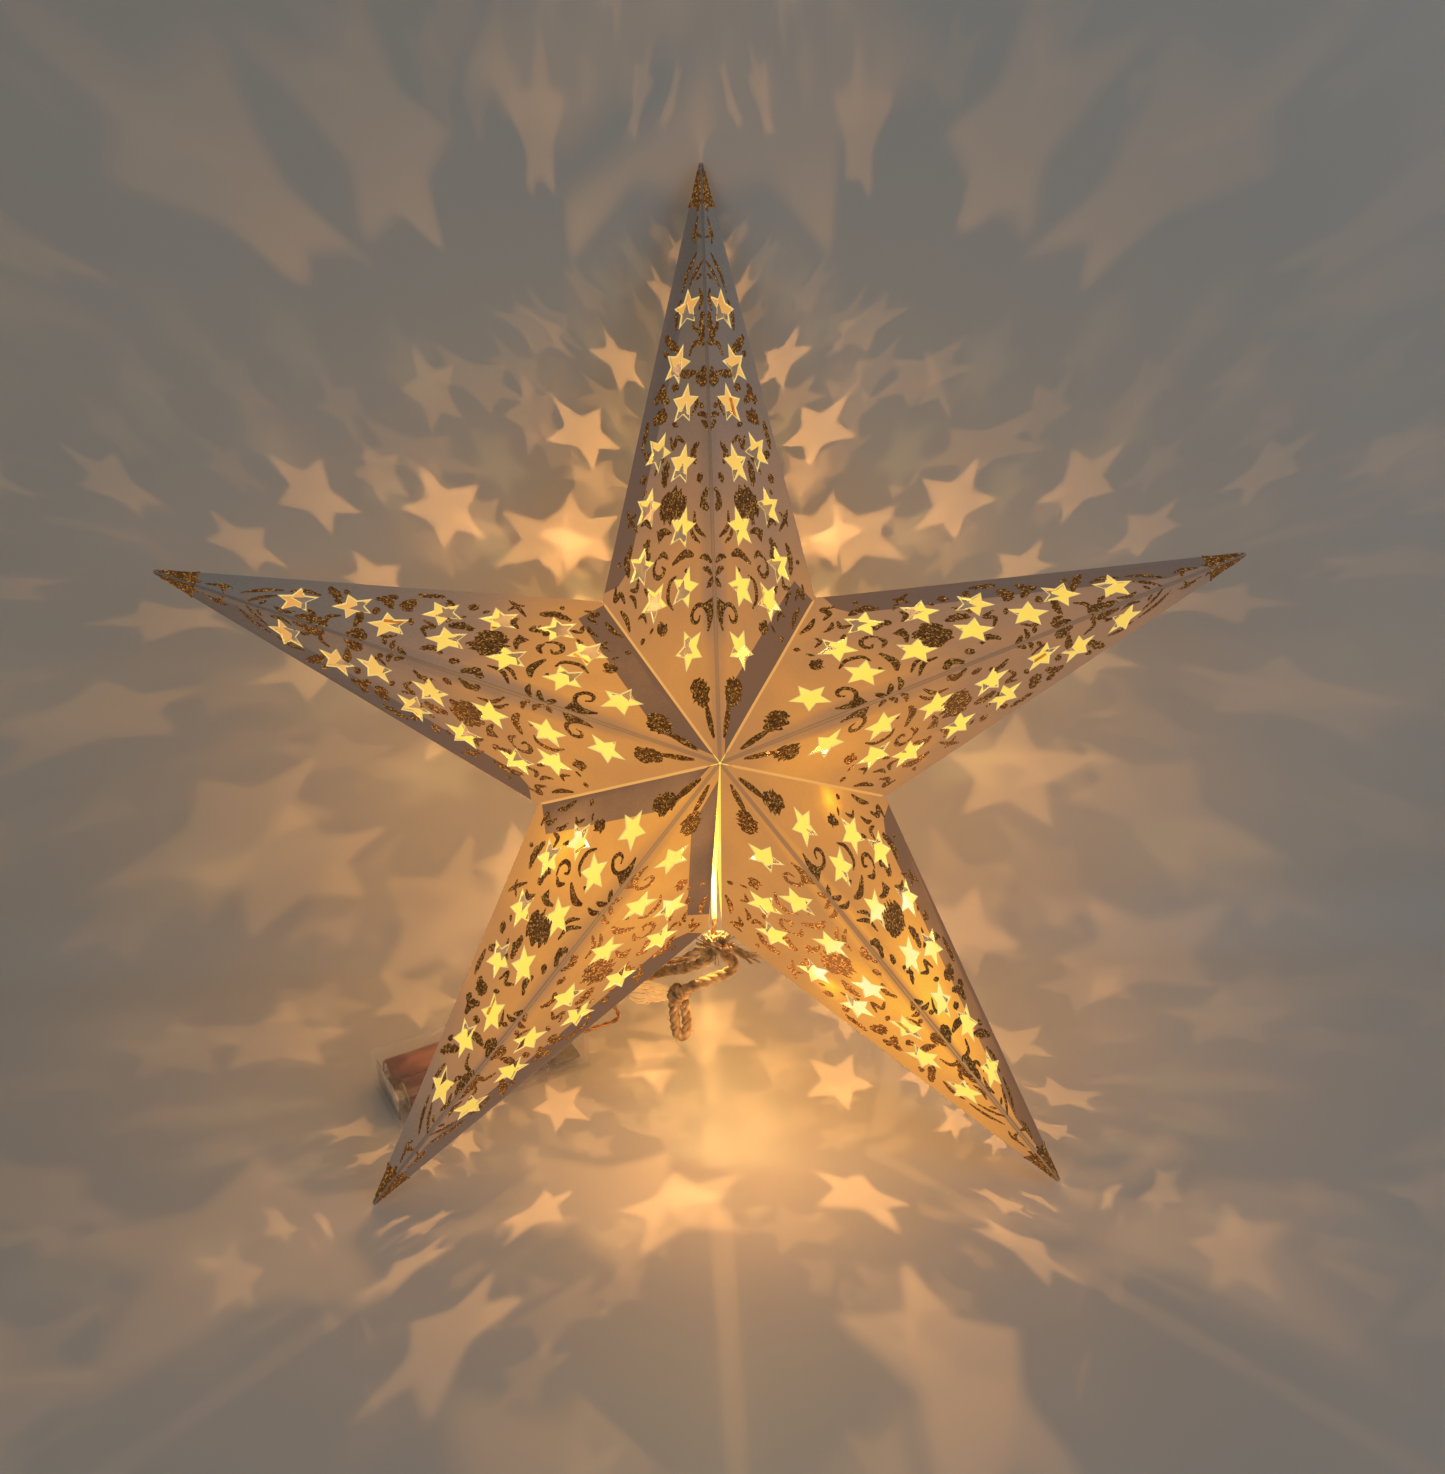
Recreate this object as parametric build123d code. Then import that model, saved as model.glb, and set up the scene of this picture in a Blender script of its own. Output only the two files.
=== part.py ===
from build123d import *
import os
from math import cos, hypot, radians, sin, tan

# A folding five-point paper star lantern. It leans back with its top point on a wall and its two
# lower points on the floor. A battery box stands on the floor behind it.
# Origin: the top point, where it rests on the wall. +X right, +Z up, the front faces -Y.

# Star: driving dimensions, in millimetres and degrees
TIP_RADIUS = 160.0        # centre of the star to each of its points
CORNER_RADIUS = 50.0      # centre to each inner corner
PEAK_HEIGHT = 52.0        # star plane to the front peak and to the back peak
ARM_HALF_ANGLE = 35.6     # five arms of 71.2 degrees leave a slit of 4 degrees at the bottom
LEAN_ANGLE = 25.0         # how far the star leans back from upright
CARD = 0.3                # card thickness

# Gaps along the edges of a panel, so that the folds can move
FOLD_GAP = 0.2            # at a fold that is a hinge
OPEN_RIDGE_GAP = 0.8      # at the back ridges, which close without a hinge
SEAM_GAP = 0.9            # at the glued seams between the arms
PEAK_TRIM = 4.0           # cut off each panel's corner at the peak
TIP_TRIM = 1.0            # cut off each panel's corner at the tip

# Star-shaped holes: place along and away from the ridge, and lean towards the peak of the hole's
# point that looks at the ridge
HOLE_RADIUS = 5.3
HOLE_WAIST = 0.47         # inner radius over outer radius
HOLES = [
    (126.0, 7.2, -13), (111.5, 12.0, 12), (99.0, 9.3, 0), (89.5, 21.0, 19), (82.5, 11.2, 3),
    (75.0, 25.8, 4), (65.0, 12.0, 5), (59.5, 29.5, 4), (48.3, 11.4, 4), (48.0, 24.0, 24),
    (31.5, 10.0, 34),
]

# Glue tabs on the inside: places along the edge and in from the edge
TAB_EDGE = 1.0
SEAM_TAB = 8.5
OUTER_TAB = 8.5

# Lights: a copper wire with beads rides in each arm, behind its right-hand front panel
WIRE_DIAMETER = 0.8
BEAD_DIAMETER = 2.6
LEAD_DIAMETER = 1.4
WIRE_DEPTH = 3.2          # behind the inner face of the panel
ARM_WIRE = [(24, 15), (35, 20.5), (47.5, 24), (59.5, 28.5), (71, 28), (81, 24.4), (92, 19), (104, 14.5)]
# Which places along each arm's wire carry a bead
BEADS = {"top": [1, 4, 6], "right": [1, 4, 6], "lower_right": [1, 4, 5], "left": [1, 4, 6],
         "lower_left": [2, 3, 6]}

# Jute cord
JUTE = 3.0
KNOT_DIAMETER = 6.0

# Battery box, two AAA cells side by side with a switch compartment at the right-hand end
BOX_LENGTH, BOX_DEPTH, BOX_HEIGHT = 62.0, 25.0, 13.5
BOX_WALL = 1.2
BOX_TURN = 26.3           # seen from above, against the wall's direction
BOX_CORNER = (-38.0, -64.0)   # lower right-hand front corner, X and Y
BAY_LENGTH = 50.5         # outside length of the part that holds the cells
LID_GAP = 0.1
CELL_DIAMETER, CELL_LENGTH = 10.5, 43.5
NUB_DIAMETER, NUB_LENGTH = 3.8, 1.0
CONTACT = 0.4
SPRING_DIAMETER = 6.0
SLOT_LENGTH, SLOT_WIDTH = 7.0, 3.0
KNOB_LENGTH, KNOB_WIDTH, KNOB_HEIGHT = 3.5, 2.4, 3.0
KNOB_TRAVEL = 2.5
LEAD_HOLE = 2.0

ARMS = {"top": 0, "right": 1, "lower_right": 2, "left": -1, "lower_left": -2}
SIDES = {"left": -1, "right": 1}
FACES = {"front": 1, "back": -1}

# Directions of the leaning star: up in its plane, and out of its front
lean = radians(LEAN_ANGLE)
star_up = Vector(0, sin(lean), cos(lean))
star_front = Vector(0, -cos(lean), sin(lean))
star_centre = star_up * -TIP_RADIUS


def star_point(across, up, behind):
    """A place from the star's centre: to the right, up in its plane, and behind its plane."""
    return star_centre + Vector(across, 0, 0) + star_up * up - star_front * behind


lowest_tip_angle = radians(4 * ARM_HALF_ANGLE)
floor_z = star_point(0, TIP_RADIUS * cos(lowest_tip_angle), 0).Z - CARD

# A panel is a triangle: peak, tip and inner corner. In its own plane the ridge runs along X from
# the peak at 0 to the tip at ridge_length, and the corner lies at (corner_along, corner_out).
ridge_length = hypot(TIP_RADIUS, PEAK_HEIGHT)
half_angle = radians(ARM_HALF_ANGLE)
corner_along = (TIP_RADIUS * CORNER_RADIUS * cos(half_angle) + PEAK_HEIGHT**2) / ridge_length
seam_length = hypot(CORNER_RADIUS, PEAK_HEIGHT)
corner_out = (seam_length**2 - corner_along**2) ** 0.5
outer_length = hypot(ridge_length - corner_along, corner_out)
seam_direction = Vector(corner_along, corner_out) / seam_length
outer_direction = Vector(corner_along - ridge_length, corner_out) / outer_length


def from_seam(along, inward):
    return seam_direction * along + Vector(seam_direction.Y, -seam_direction.X) * inward


def from_outer(along, inward):
    """Measured from the tip along the outer edge."""
    tip = Vector(ridge_length, 0)
    return tip + outer_direction * along + Vector(-outer_direction.Y, outer_direction.X) * inward


class Panel:
    """One triangular panel's place: its plane looks outwards, with the ridge along its X axis."""

    def __init__(self, arm, side, face):
        turn = radians(2 * ARM_HALF_ANGLE * ARMS[arm])
        corner_turn = turn + SIDES[side] * half_angle
        peak = star_point(0, 0, -FACES[face] * PEAK_HEIGHT)
        tip = star_point(TIP_RADIUS * sin(turn), TIP_RADIUS * cos(turn), 0)
        corner = star_point(CORNER_RADIUS * sin(corner_turn), CORNER_RADIUS * cos(corner_turn), 0)
        ridge = tip - peak
        self.mirror = -SIDES[side] * FACES[face]
        self.outward = (ridge.cross(corner - peak) * self.mirror).normalized()
        self.plane = Plane(origin=peak, x_dir=ridge, z_dir=self.outward)

    def flat(self, points):
        """A closed outline drawn for an unmirrored panel, as a flat shape in this panel's plane."""
        corners = [(point.X, point.Y * self.mirror) for point in points]
        return make_face(Polyline(*corners, close=True))

    def point(self, along, out, inward):
        return self.plane.from_local_coords((along, out * self.mirror, -inward))

    def sheet(self, outline, outwards):
        """Card cut to an outline, with the star holes cut through it."""
        shape = outline - [self.flat(star_outline(*hole)) for hole in HOLES]
        return extrude(self.plane * shape, amount=CARD, dir=self.outward * outwards)


def star_outline(along, out, lean_to_peak):
    points = []
    for step in range(10):
        radius = HOLE_RADIUS * (HOLE_WAIST if step % 2 else 1)
        angle = radians(-90 - lean_to_peak + 36 * step)
        points.append(Vector(along + radius * cos(angle), out + radius * sin(angle)))
    return points


def seam_and_outer_meet(seam_gap, outer_gap):
    """The panel's inner corner, moved in from both its edges."""
    start, target = from_seam(0, seam_gap), from_outer(0, outer_gap)
    gap = target - start
    cross = seam_direction.X * outer_direction.Y - seam_direction.Y * outer_direction.X
    along = (gap.X * outer_direction.Y - gap.Y * outer_direction.X) / cross
    return start + seam_direction * along


def panel_card(panel, face):
    ridge_gap = FOLD_GAP if face == "front" else OPEN_RIDGE_GAP
    outline = [
        Vector(PEAK_TRIM, ridge_gap),
        Vector(ridge_length - 3 * TIP_TRIM, ridge_gap),
        from_outer(2 * TIP_TRIM, FOLD_GAP),
        seam_and_outer_meet(SEAM_GAP, FOLD_GAP),
        from_seam(PEAK_TRIM, SEAM_GAP),
    ]
    return panel.sheet(panel.flat(outline), 1)


def seam_tab(panel):
    """The strip along the seam that is folded in and glued inside the next arm."""
    outline = [
        from_seam(9, TAB_EDGE), from_seam(seam_length - 3, TAB_EDGE),
        from_seam(seam_length - 5, SEAM_TAB), from_seam(19, SEAM_TAB),
    ]
    return panel.sheet(panel.flat(outline), -1)


def slit_tab(panel):
    """The free tab at the slit, kept clear of the outer tab on the same panel."""
    outline = [
        from_seam(9, TAB_EDGE), from_seam(seam_length - 12, TAB_EDGE),
        from_seam(seam_length - 20, SEAM_TAB), from_seam(19, SEAM_TAB),
    ]
    return panel.sheet(panel.flat(outline), -1)


def outer_tab(panel):
    """The strip along the outer edge that closes the arm, with a cut-off end at the corner."""
    outline = [
        from_outer(12, TAB_EDGE), from_outer(outer_length - 4, TAB_EDGE),
        from_outer(outer_length - 6, OUTER_TAB - 2), from_outer(outer_length - 12, OUTER_TAB),
        from_outer(30, OUTER_TAB - 1),
    ]
    return panel.sheet(panel.flat(outline), -1)


def tube(name, route, diameter):
    """A cord along straight runs joined by tangent arcs."""
    radii = []
    for before, point, after in zip(route, route[1:], route[2:]):
        run_in, run_out = point - before, after - point
        turn = radians(run_in.get_angle(run_out))
        radii.append(0.45 * min(run_in.length, run_out.length) / tan(turn / 2))
    path = FilletPolyline(*route, radius=radii)
    solid = sweep(Plane(origin=path @ 0, z_dir=path % 0) * Circle(diameter / 2), path=path)
    expected = 3.14159 * diameter**2 / 4 * path.length
    print(f"{name}: length {path.length:.1f}, volume over expected {solid.volume / expected:.3f},",
          "radii", [round(radius, 1) for radius in radii])
    return solid


def arm_lights(arm):
    """The copper wire of one arm, and its light beads."""
    panel = Panel(arm, "right", "front")
    route = [panel.point(along, out, WIRE_DEPTH) for along, out in ARM_WIRE]
    wire = tube(f"{arm}_arm_light_wire", route, WIRE_DIAMETER)
    beads = Compound([Pos(*route[place]) * Sphere(BEAD_DIAMETER / 2) for place in BEADS[arm]])
    return wire, beads


# Cord routes: across, up and behind, from the star's centre
INNER_LEAD = [(3, 6, -2), (-2.5, -6, 2), (1.5, -20, 3), (0, -34, 2.7), (0, -48, 2.7)]
CENTRE_BEADS = [0, 1]
LEAD_FROM_STAR = [
    (0, -48, 2.7), (0, -55.5, 2.7), (-10, -61.3, 6), (-20.5, -62, 15), (-29, -69.5, 29),
    (-34.5, -77.5, 43),
]
LEAD_TO_BOX = [(-29.5, -60, -240.5), (-28.2, -57.2, -247.3), (-34, -57.5, -249.5),
               (-39.9, -60.4, -249.5)]
TIE = (0, -54.5, -4.6)
TIE_ENDS = [(-8.6, -57.5, -6.2), (8.6, -57.2, -6.2)]
LEFT_CORD = [
    (-1.5, -57.5, -3.6), (-4.7, -60.5, -0.8), (-9.8, -62.4, 3.5), (-16, -64.3, 10), (-22.5, -68.6, 17),
    (-30, -76, 23), (-38.5, -82.7, 29), (-48, -87, 36), (-59, -88.4, 42.5), (-70, -87.8, 48.2),
]
RIGHT_CORD = [
    (2, -57, -3.6), (4.7, -58.8, -2.8), (5.2, -61.6, -1.2), (1.4, -64, 0.6), (-4, -66, 2),
    (-8.6, -68.2, 3.6),
]
KNOT = (-10.6, -69.8, 4.7)
END_LOOP = [
    (-12.1, -72.1, 5.8), (-11.7, -77, 8.1), (-11.5, -82, 10.5), (-9.8, -84, 11.4),
    (-8.1, -82, 10.4), (-8.3, -77, 8.1), (-8.9, -72.2, 5.7),
]
TASSEL_END = (-24.5, -69.6, 9.8)
TASSEL_DIAMETERS = (3.0, 6.0)


def places(route):
    return [star_point(*point) for point in route]


def rod(start, end, start_diameter, end_diameter):
    """A straight round piece, plain or tapering."""
    run = end - start
    centre = Plane(origin=start + run / 2, z_dir=run)
    if start_diameter == end_diameter:
        return centre * Cylinder(start_diameter / 2, run.length)
    return centre * Cone(start_diameter / 2, end_diameter / 2, run.length)


def jute_tie():
    """The wrapped tie that closes the slit, with its two short ends."""
    middle = star_point(*TIE)
    tie = Pos(*middle) * Sphere(1.15 * JUTE)
    for end in places(TIE_ENDS):
        tie += rod(middle, end, JUTE, JUTE)
    return tie


def jute_tassel():
    knot, end = star_point(*KNOT), star_point(*TASSEL_END)
    start = knot + (end - knot).normalized() * (KNOT_DIAMETER / 2)
    return rod(start, end, *TASSEL_DIAMETERS)


# Battery box, drawn with its lower right-hand front corner at the origin, its length towards -X
# and its depth towards +Y
box_place = Pos(*BOX_CORNER, floor_z) * Rot(Z=BOX_TURN)


def block(x_min, x_max, y_min, y_max, z_min, z_max):
    size = (x_max - x_min, y_max - y_min, z_max - z_min)
    return Pos(x_min, y_min, z_min) * Box(*size, align=(Align.MIN, Align.MIN, Align.MIN))


bay_start, bay_end = -BOX_LENGTH, BAY_LENGTH - BOX_LENGTH
base_height = BOX_HEIGHT - BOX_WALL - LID_GAP
slot_x, slot_y = (bay_end - BOX_WALL) / 2, BOX_DEPTH / 2
lead_hole_y, lead_hole_z = 4.3, -249.5 - floor_z
cell_z = BOX_WALL + 0.3 + CELL_DIAMETER / 2
cell_rows = [BOX_DEPTH / 2 - CELL_DIAMETER / 2 - 0.2, BOX_DEPTH / 2 + CELL_DIAMETER / 2 + 0.2]
cell_start = bay_start + BOX_WALL + 2 * CONTACT


def battery_box_base():
    """Clear tray with a roofed switch compartment at its right-hand end."""
    base = block(bay_start, 0, 0, BOX_DEPTH, 0, BOX_HEIGHT)
    base -= block(bay_start - 1, bay_end, -1, BOX_DEPTH + 1, base_height, BOX_HEIGHT + 1)
    base -= block(bay_start + BOX_WALL, bay_end - BOX_WALL, BOX_WALL, BOX_DEPTH - BOX_WALL,
                  BOX_WALL, BOX_HEIGHT + 1)
    base -= block(bay_end, -BOX_WALL, BOX_WALL, BOX_DEPTH - BOX_WALL, BOX_WALL,
                  BOX_HEIGHT - BOX_WALL)
    base -= block(slot_x - SLOT_WIDTH / 2, slot_x + SLOT_WIDTH / 2, slot_y - SLOT_LENGTH / 2,
                  slot_y + SLOT_LENGTH / 2, BOX_HEIGHT - 2 * BOX_WALL, BOX_HEIGHT + 1)
    hole = Pos(-BOX_WALL / 2, lead_hole_y, lead_hole_z) * Rot(Y=90)
    return base - hole * Cylinder(LEAD_HOLE / 2, 3 * BOX_WALL)


def battery_box_lid():
    """Flat clear lid over the cells, with three grip ribs. It slides off to the left."""
    lid = block(bay_start, bay_end - 0.2, 0, BOX_DEPTH, base_height + LID_GAP, BOX_HEIGHT)
    for rib in range(3):
        rib_x = bay_start + 3 + 2 * rib
        lid += block(rib_x, rib_x + 0.8, 7, BOX_DEPTH - 7, BOX_HEIGHT, BOX_HEIGHT + 0.4)
    return lid


def switch_knob():
    knob = block(-KNOB_WIDTH / 2, KNOB_WIDTH / 2, -KNOB_LENGTH / 2, KNOB_LENGTH / 2, 0, KNOB_HEIGHT)
    lift = BOX_HEIGHT + 0.8 - KNOB_HEIGHT
    return Pos(slot_x, slot_y + KNOB_TRAVEL / 2, lift) * knob


def switch_board():
    """Circuit board with the switch's body and a resistor."""
    board = block(slot_x - 4, slot_x + 4, BOX_WALL + 1, BOX_DEPTH - BOX_WALL - 1, 3, 4)
    body_top = BOX_HEIGHT + 0.8 - KNOB_HEIGHT - 0.3
    body = block(slot_x - 2.5, slot_x + 2.5, slot_y - 5, slot_y + 5, 4, body_top)
    resistor = Pos(slot_x, BOX_DEPTH - 5.5, 5.1) * Rot(Y=90) * Cylinder(1.1, 5)
    return Compound([board, body, resistor])


def battery_cells():
    cells = []
    for row, direction in zip(cell_rows, (1, -1)):
        start = cell_start + (0 if direction < 0 else 2.6)
        can = Pos(start + CELL_LENGTH / 2 + (NUB_LENGTH if direction < 0 else 0), row, cell_z)
        cell = can * Rot(Y=90) * Cylinder(CELL_DIAMETER / 2, CELL_LENGTH)
        nub_x = CELL_LENGTH / 2 * direction + NUB_LENGTH / 2 * direction
        cells.append(cell + can * Pos(nub_x, 0, 0) * Rot(Y=90) * Cylinder(NUB_DIAMETER / 2, NUB_LENGTH))
    return Compound(cells)


def battery_contacts():
    """Two end plates, and the sleeves that the coil springs fill."""
    left = block(bay_start + BOX_WALL, bay_start + BOX_WALL + CONTACT, 3, BOX_DEPTH - 3, 2, 11)
    right_x = bay_end - BOX_WALL
    plates = [
        left,
        block(right_x - CONTACT, right_x, 3, BOX_DEPTH / 2 - 0.6, 2, 11),
        block(right_x - CONTACT, right_x, BOX_DEPTH / 2 + 0.6, BOX_DEPTH - 3, 2, 11),
    ]
    spring_left = cell_start - CONTACT
    spring_right_start = cell_start + NUB_LENGTH + CELL_LENGTH
    spans = [(spring_left, cell_start + 2.6, cell_rows[0]),
             (spring_right_start, right_x - CONTACT, cell_rows[1])]
    for start, end, row in spans:
        place = Pos((start + end) / 2, row, cell_z) * Rot(Y=90)
        length = end - start - 0.1
        sleeve = Cylinder(SPRING_DIAMETER / 2, length) - Cylinder(SPRING_DIAMETER / 2 - 0.5, length)
        plates.append(place * sleeve)
    return Compound(plates)


def star_nodes():
    nodes = {}
    for arm in ARMS:
        for face in FACES:
            for side in SIDES:
                panel = Panel(arm, side, face)
                nodes[f"{arm}_arm_{face}_{side}_panel"] = panel_card(panel, face)
            if arm == "lower_right":
                slit_panel = Panel("lower_left", "left", face)
                nodes[f"lower_left_arm_{face}_slit_tab"] = slit_tab(slit_panel)
            else:
                nodes[f"{arm}_arm_{face}_seam_tab"] = seam_tab(Panel(arm, "right", face))
        nodes[f"{arm}_arm_outer_tab"] = outer_tab(Panel(arm, "left", "front"))
        wire, beads = arm_lights(arm)
        nodes[f"{arm}_arm_light_wire"] = wire
        nodes[f"{arm}_arm_light_beads"] = beads
    return nodes


def cord_nodes():
    inner = places(INNER_LEAD)
    beads = [Pos(*inner[place]) * Sphere(BEAD_DIAMETER / 2) for place in CENTRE_BEADS]
    lead = places(LEAD_FROM_STAR) + [Vector(*point) for point in LEAD_TO_BOX]
    return {
        "inner_lead": tube("inner_lead", inner, LEAD_DIAMETER),
        "centre_light_beads": Compound(beads),
        "battery_lead": tube("battery_lead", lead, LEAD_DIAMETER),
        "jute_tie": jute_tie(),
        "jute_left_cord": tube("jute_left_cord", places(LEFT_CORD), JUTE),
        "jute_right_cord": tube("jute_right_cord", places(RIGHT_CORD), JUTE),
        "jute_knot": Pos(*star_point(*KNOT)) * Sphere(KNOT_DIAMETER / 2),
        "jute_end_loop": tube("jute_end_loop", places(END_LOOP), JUTE),
        "jute_tassel": jute_tassel(),
    }


def box_nodes():
    pieces = {
        "battery_box_base": battery_box_base(),
        "battery_box_lid": battery_box_lid(),
        "switch_knob": switch_knob(),
        "switch_board": switch_board(),
        "battery_cells": battery_cells(),
        "battery_contacts": battery_contacts(),
    }
    return {name: box_place * piece for name, piece in pieces.items()}


os.makedirs("parts", exist_ok=True)
for name, piece in {**star_nodes(), **cord_nodes(), **box_nodes()}.items():
    export_step(piece, f"parts/{name}.step")
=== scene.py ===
import math
import random

import bpy
import bmesh
from mathutils import Matrix, Vector, geometry, noise


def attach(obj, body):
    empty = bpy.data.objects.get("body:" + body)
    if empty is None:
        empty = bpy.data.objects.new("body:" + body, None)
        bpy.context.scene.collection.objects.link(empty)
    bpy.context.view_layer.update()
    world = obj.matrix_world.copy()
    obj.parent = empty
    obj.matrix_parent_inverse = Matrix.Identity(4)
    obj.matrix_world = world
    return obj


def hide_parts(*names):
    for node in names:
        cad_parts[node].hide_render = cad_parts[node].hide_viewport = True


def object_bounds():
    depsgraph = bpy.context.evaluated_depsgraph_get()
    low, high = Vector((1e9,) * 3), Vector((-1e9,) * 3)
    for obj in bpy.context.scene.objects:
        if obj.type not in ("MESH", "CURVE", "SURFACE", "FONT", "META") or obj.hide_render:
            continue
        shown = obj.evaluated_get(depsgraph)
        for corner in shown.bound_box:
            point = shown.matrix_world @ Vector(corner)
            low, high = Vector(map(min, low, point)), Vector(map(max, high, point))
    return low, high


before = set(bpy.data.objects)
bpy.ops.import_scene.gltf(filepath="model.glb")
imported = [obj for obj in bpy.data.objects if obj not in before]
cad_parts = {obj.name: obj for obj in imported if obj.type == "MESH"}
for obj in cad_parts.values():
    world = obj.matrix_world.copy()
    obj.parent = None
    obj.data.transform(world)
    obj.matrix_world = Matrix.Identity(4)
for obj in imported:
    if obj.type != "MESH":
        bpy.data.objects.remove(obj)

cad_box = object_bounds()
MM = 0.001

# ---- the star's frame
# Lengths in millimetres, in the same frame as the CAD parts
TIP_RADIUS, CORNER_RADIUS, PEAK_HEIGHT = 160.0, 50.0, 52.0
HALF_ANGLE = math.radians(35.6)
LEAN = math.radians(25)
CARD = 0.3
ARMS = {"top": 0, "right": 1, "lower_right": 2, "left": -1, "lower_left": -2}
SIDES = {"left": -1, "right": 1}
FACES = {"front": 1, "back": -1}
star_up = Vector((0, math.sin(LEAN), math.cos(LEAN)))
star_front = Vector((0, -math.cos(LEAN), math.sin(LEAN)))
star_centre = star_up * -TIP_RADIUS
floor_z = cad_box[0][2] / MM


def star_point(across, up, behind):
    """A place from the star's centre: to the right, up in its plane, and behind its plane."""
    return star_centre + Vector((across, 0, 0)) + star_up * up - star_front * behind


# ---- camera
FOCAL = 1.0727                        # focal length over the frame's width
SENSOR = 36.0
CAMERA_PLACE = (-16.1, 30.8, -427.9)  # across, up and behind the star's centre
# The turn away from facing the star's plane squarely: an axis as long as the angle in radians
CAMERA_TURN = Vector((-0.0644, -0.0453, -0.0193))


def make_camera():
    data = bpy.data.cameras.new("camera")
    data.sensor_fit = "HORIZONTAL"
    data.sensor_width = SENSOR
    data.lens = SENSOR * FOCAL
    data.clip_start = 0.01
    camera = bpy.data.objects.new("camera", data)
    bpy.context.collection.objects.link(camera)
    facing = Matrix((Vector((1, 0, 0)), star_up, star_front)).transposed()
    turn = Matrix.Rotation(CAMERA_TURN.length, 3, CAMERA_TURN)
    place = Matrix.Translation(star_point(*CAMERA_PLACE) * MM)
    camera.matrix_world = place @ (facing @ turn).to_4x4()
    bpy.context.scene.camera = camera


make_camera()


# ---- materials
def blank(name):
    made = bpy.data.materials.new(name)
    made.use_nodes = True
    made.node_tree.nodes.clear()
    return made


def add(made, kind, settings=None, **inputs):
    """A shader node. An input is a constant or another node's output; _ stands for a space."""
    added = made.node_tree.nodes.new("ShaderNode" + kind)
    for name, value in (settings or {}).items():
        setattr(added, name, value)
    for name, value in inputs.items():
        socket = added.inputs[int(name[1:])] if name[0] == "i" and name[1:].isdigit() \
            else added.inputs[name.replace("_", " ")]
        if isinstance(value, bpy.types.NodeSocket):
            made.node_tree.links.new(value, socket)
        else:
            socket.default_value = value
    return added


def ramp(made, factor, *stops):
    """A colour that follows factor through the stops (place, colour)."""
    added = add(made, "ValToRGB", Fac=factor)
    elements = added.color_ramp.elements
    while len(elements) < len(stops):
        elements.new(0.5)
    for element, (place, colour) in zip(elements, stops):
        element.position = place
    for element, (place, colour) in zip(elements, stops):
        element.color = (*colour, 1)
    return added.outputs["Color"]


def close(made, surface):
    add(made, "OutputMaterial", Surface=surface)
    return made


def noise_at(made, scale, detail):
    coordinates = add(made, "TexCoord").outputs["Object"]
    return add(made, "TexNoise", Vector=coordinates, Scale=scale, Detail=detail).outputs["Fac"]


def bump(made, height, strength, distance):
    return add(made, "Bump", Height=height, Strength=strength, Distance=distance * MM).outputs[0]


def product(made, first, second):
    return add(made, "Math", {"operation": "MULTIPLY"}, i0=first, i1=second).outputs[0]


def mapped(made, value, before, after):
    """The value taken from one range to another."""
    return add(made, "MapRange", Value=value, From_Min=before[0], From_Max=before[1], To_Min=after[0],
               To_Max=after[1]).outputs[0]


# Colours of the card's own light as its glow goes from 0 to BRIGHTEST
BRIGHTEST = 1.6
NOISE_RANGE = (0.3, 0.7)
LIT_CARD = [(0.0, (0.16, 0.13, 0.105)), (0.18, (0.38, 0.19, 0.095)), (0.33, (0.55, 0.235, 0.068)),
            (0.48, (0.76, 0.31, 0.064)), (0.65, (1.0, 0.42, 0.06)), (1.0, (1.0, 0.74, 0.06))]
# Where a glue tab lies behind the card less light comes through: these darker colours are painted shade.
LIT_TAB_SHADE = [(0.0, (0.13, 0.105, 0.09)), (0.2, (0.165, 0.09, 0.055)), (0.4, (0.21, 0.10, 0.05)),
           (0.6, (0.42, 0.19, 0.07)), (1.0, (0.85, 0.42, 0.08))]
LIT_INSIDE = [(0.0, (0.66, 0.30, 0.10)), (0.12, (0.86, 0.48, 0.13)), (0.26, (1.0, 0.76, 0.11)),
              (0.7, (1.0, 0.86, 0.16)), (1.0, (1.0, 0.97, 0.6))]
# Darker colours for the folds: painted shade in the creases.
LIT_CREASE_SHADE = [(0.0, (0.14, 0.10, 0.075)), (0.35, (0.38, 0.18, 0.07)), (1.0, (0.7, 0.34, 0.07))]
LIT_FIN = [(0.0, (0.45, 0.26, 0.13)), (0.3, (0.80, 0.37, 0.10)), (1.0, (1.0, 0.55, 0.14))]


def glowing_card(name, paper, lit, shows):
    """Fibrous card with light from behind, as strong as the mesh's glow attribute says.

    Its own light hides the paper wholly where the glow reaches shows."""
    made = blank(name)
    fibres = noise_at(made, 1500, 6)
    cloudy = noise_at(made, 42, 3)
    glow = add(made, "Attribute", {"attribute_name": "glow"}).outputs["Fac"]
    glow = product(made, glow, mapped(made, cloudy, NOISE_RANGE, (0.86, 1.12)))
    glow = product(made, glow, mapped(made, fibres, NOISE_RANGE, (0.96, 1.04)))
    dark = tuple(0.86 * part for part in paper)
    surface = add(made, "BsdfPrincipled", Base_Color=ramp(made, fibres, (0.35, dark), (0.65, paper)),
                  Roughness=0.82, Normal=bump(made, fibres, 0.35, 0.05))
    scaled = product(made, glow, 1 / BRIGHTEST)
    light = add(made, "Emission", Color=ramp(made, scaled, *lit), Strength=1.0)
    share = mapped(made, glow, (0.0, shows), (0.0, 0.96))
    mixed = add(made, "MixShader", Fac=share, i1=surface.outputs[0], i2=light.outputs[0])
    return close(made, mixed.outputs[0])


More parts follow.
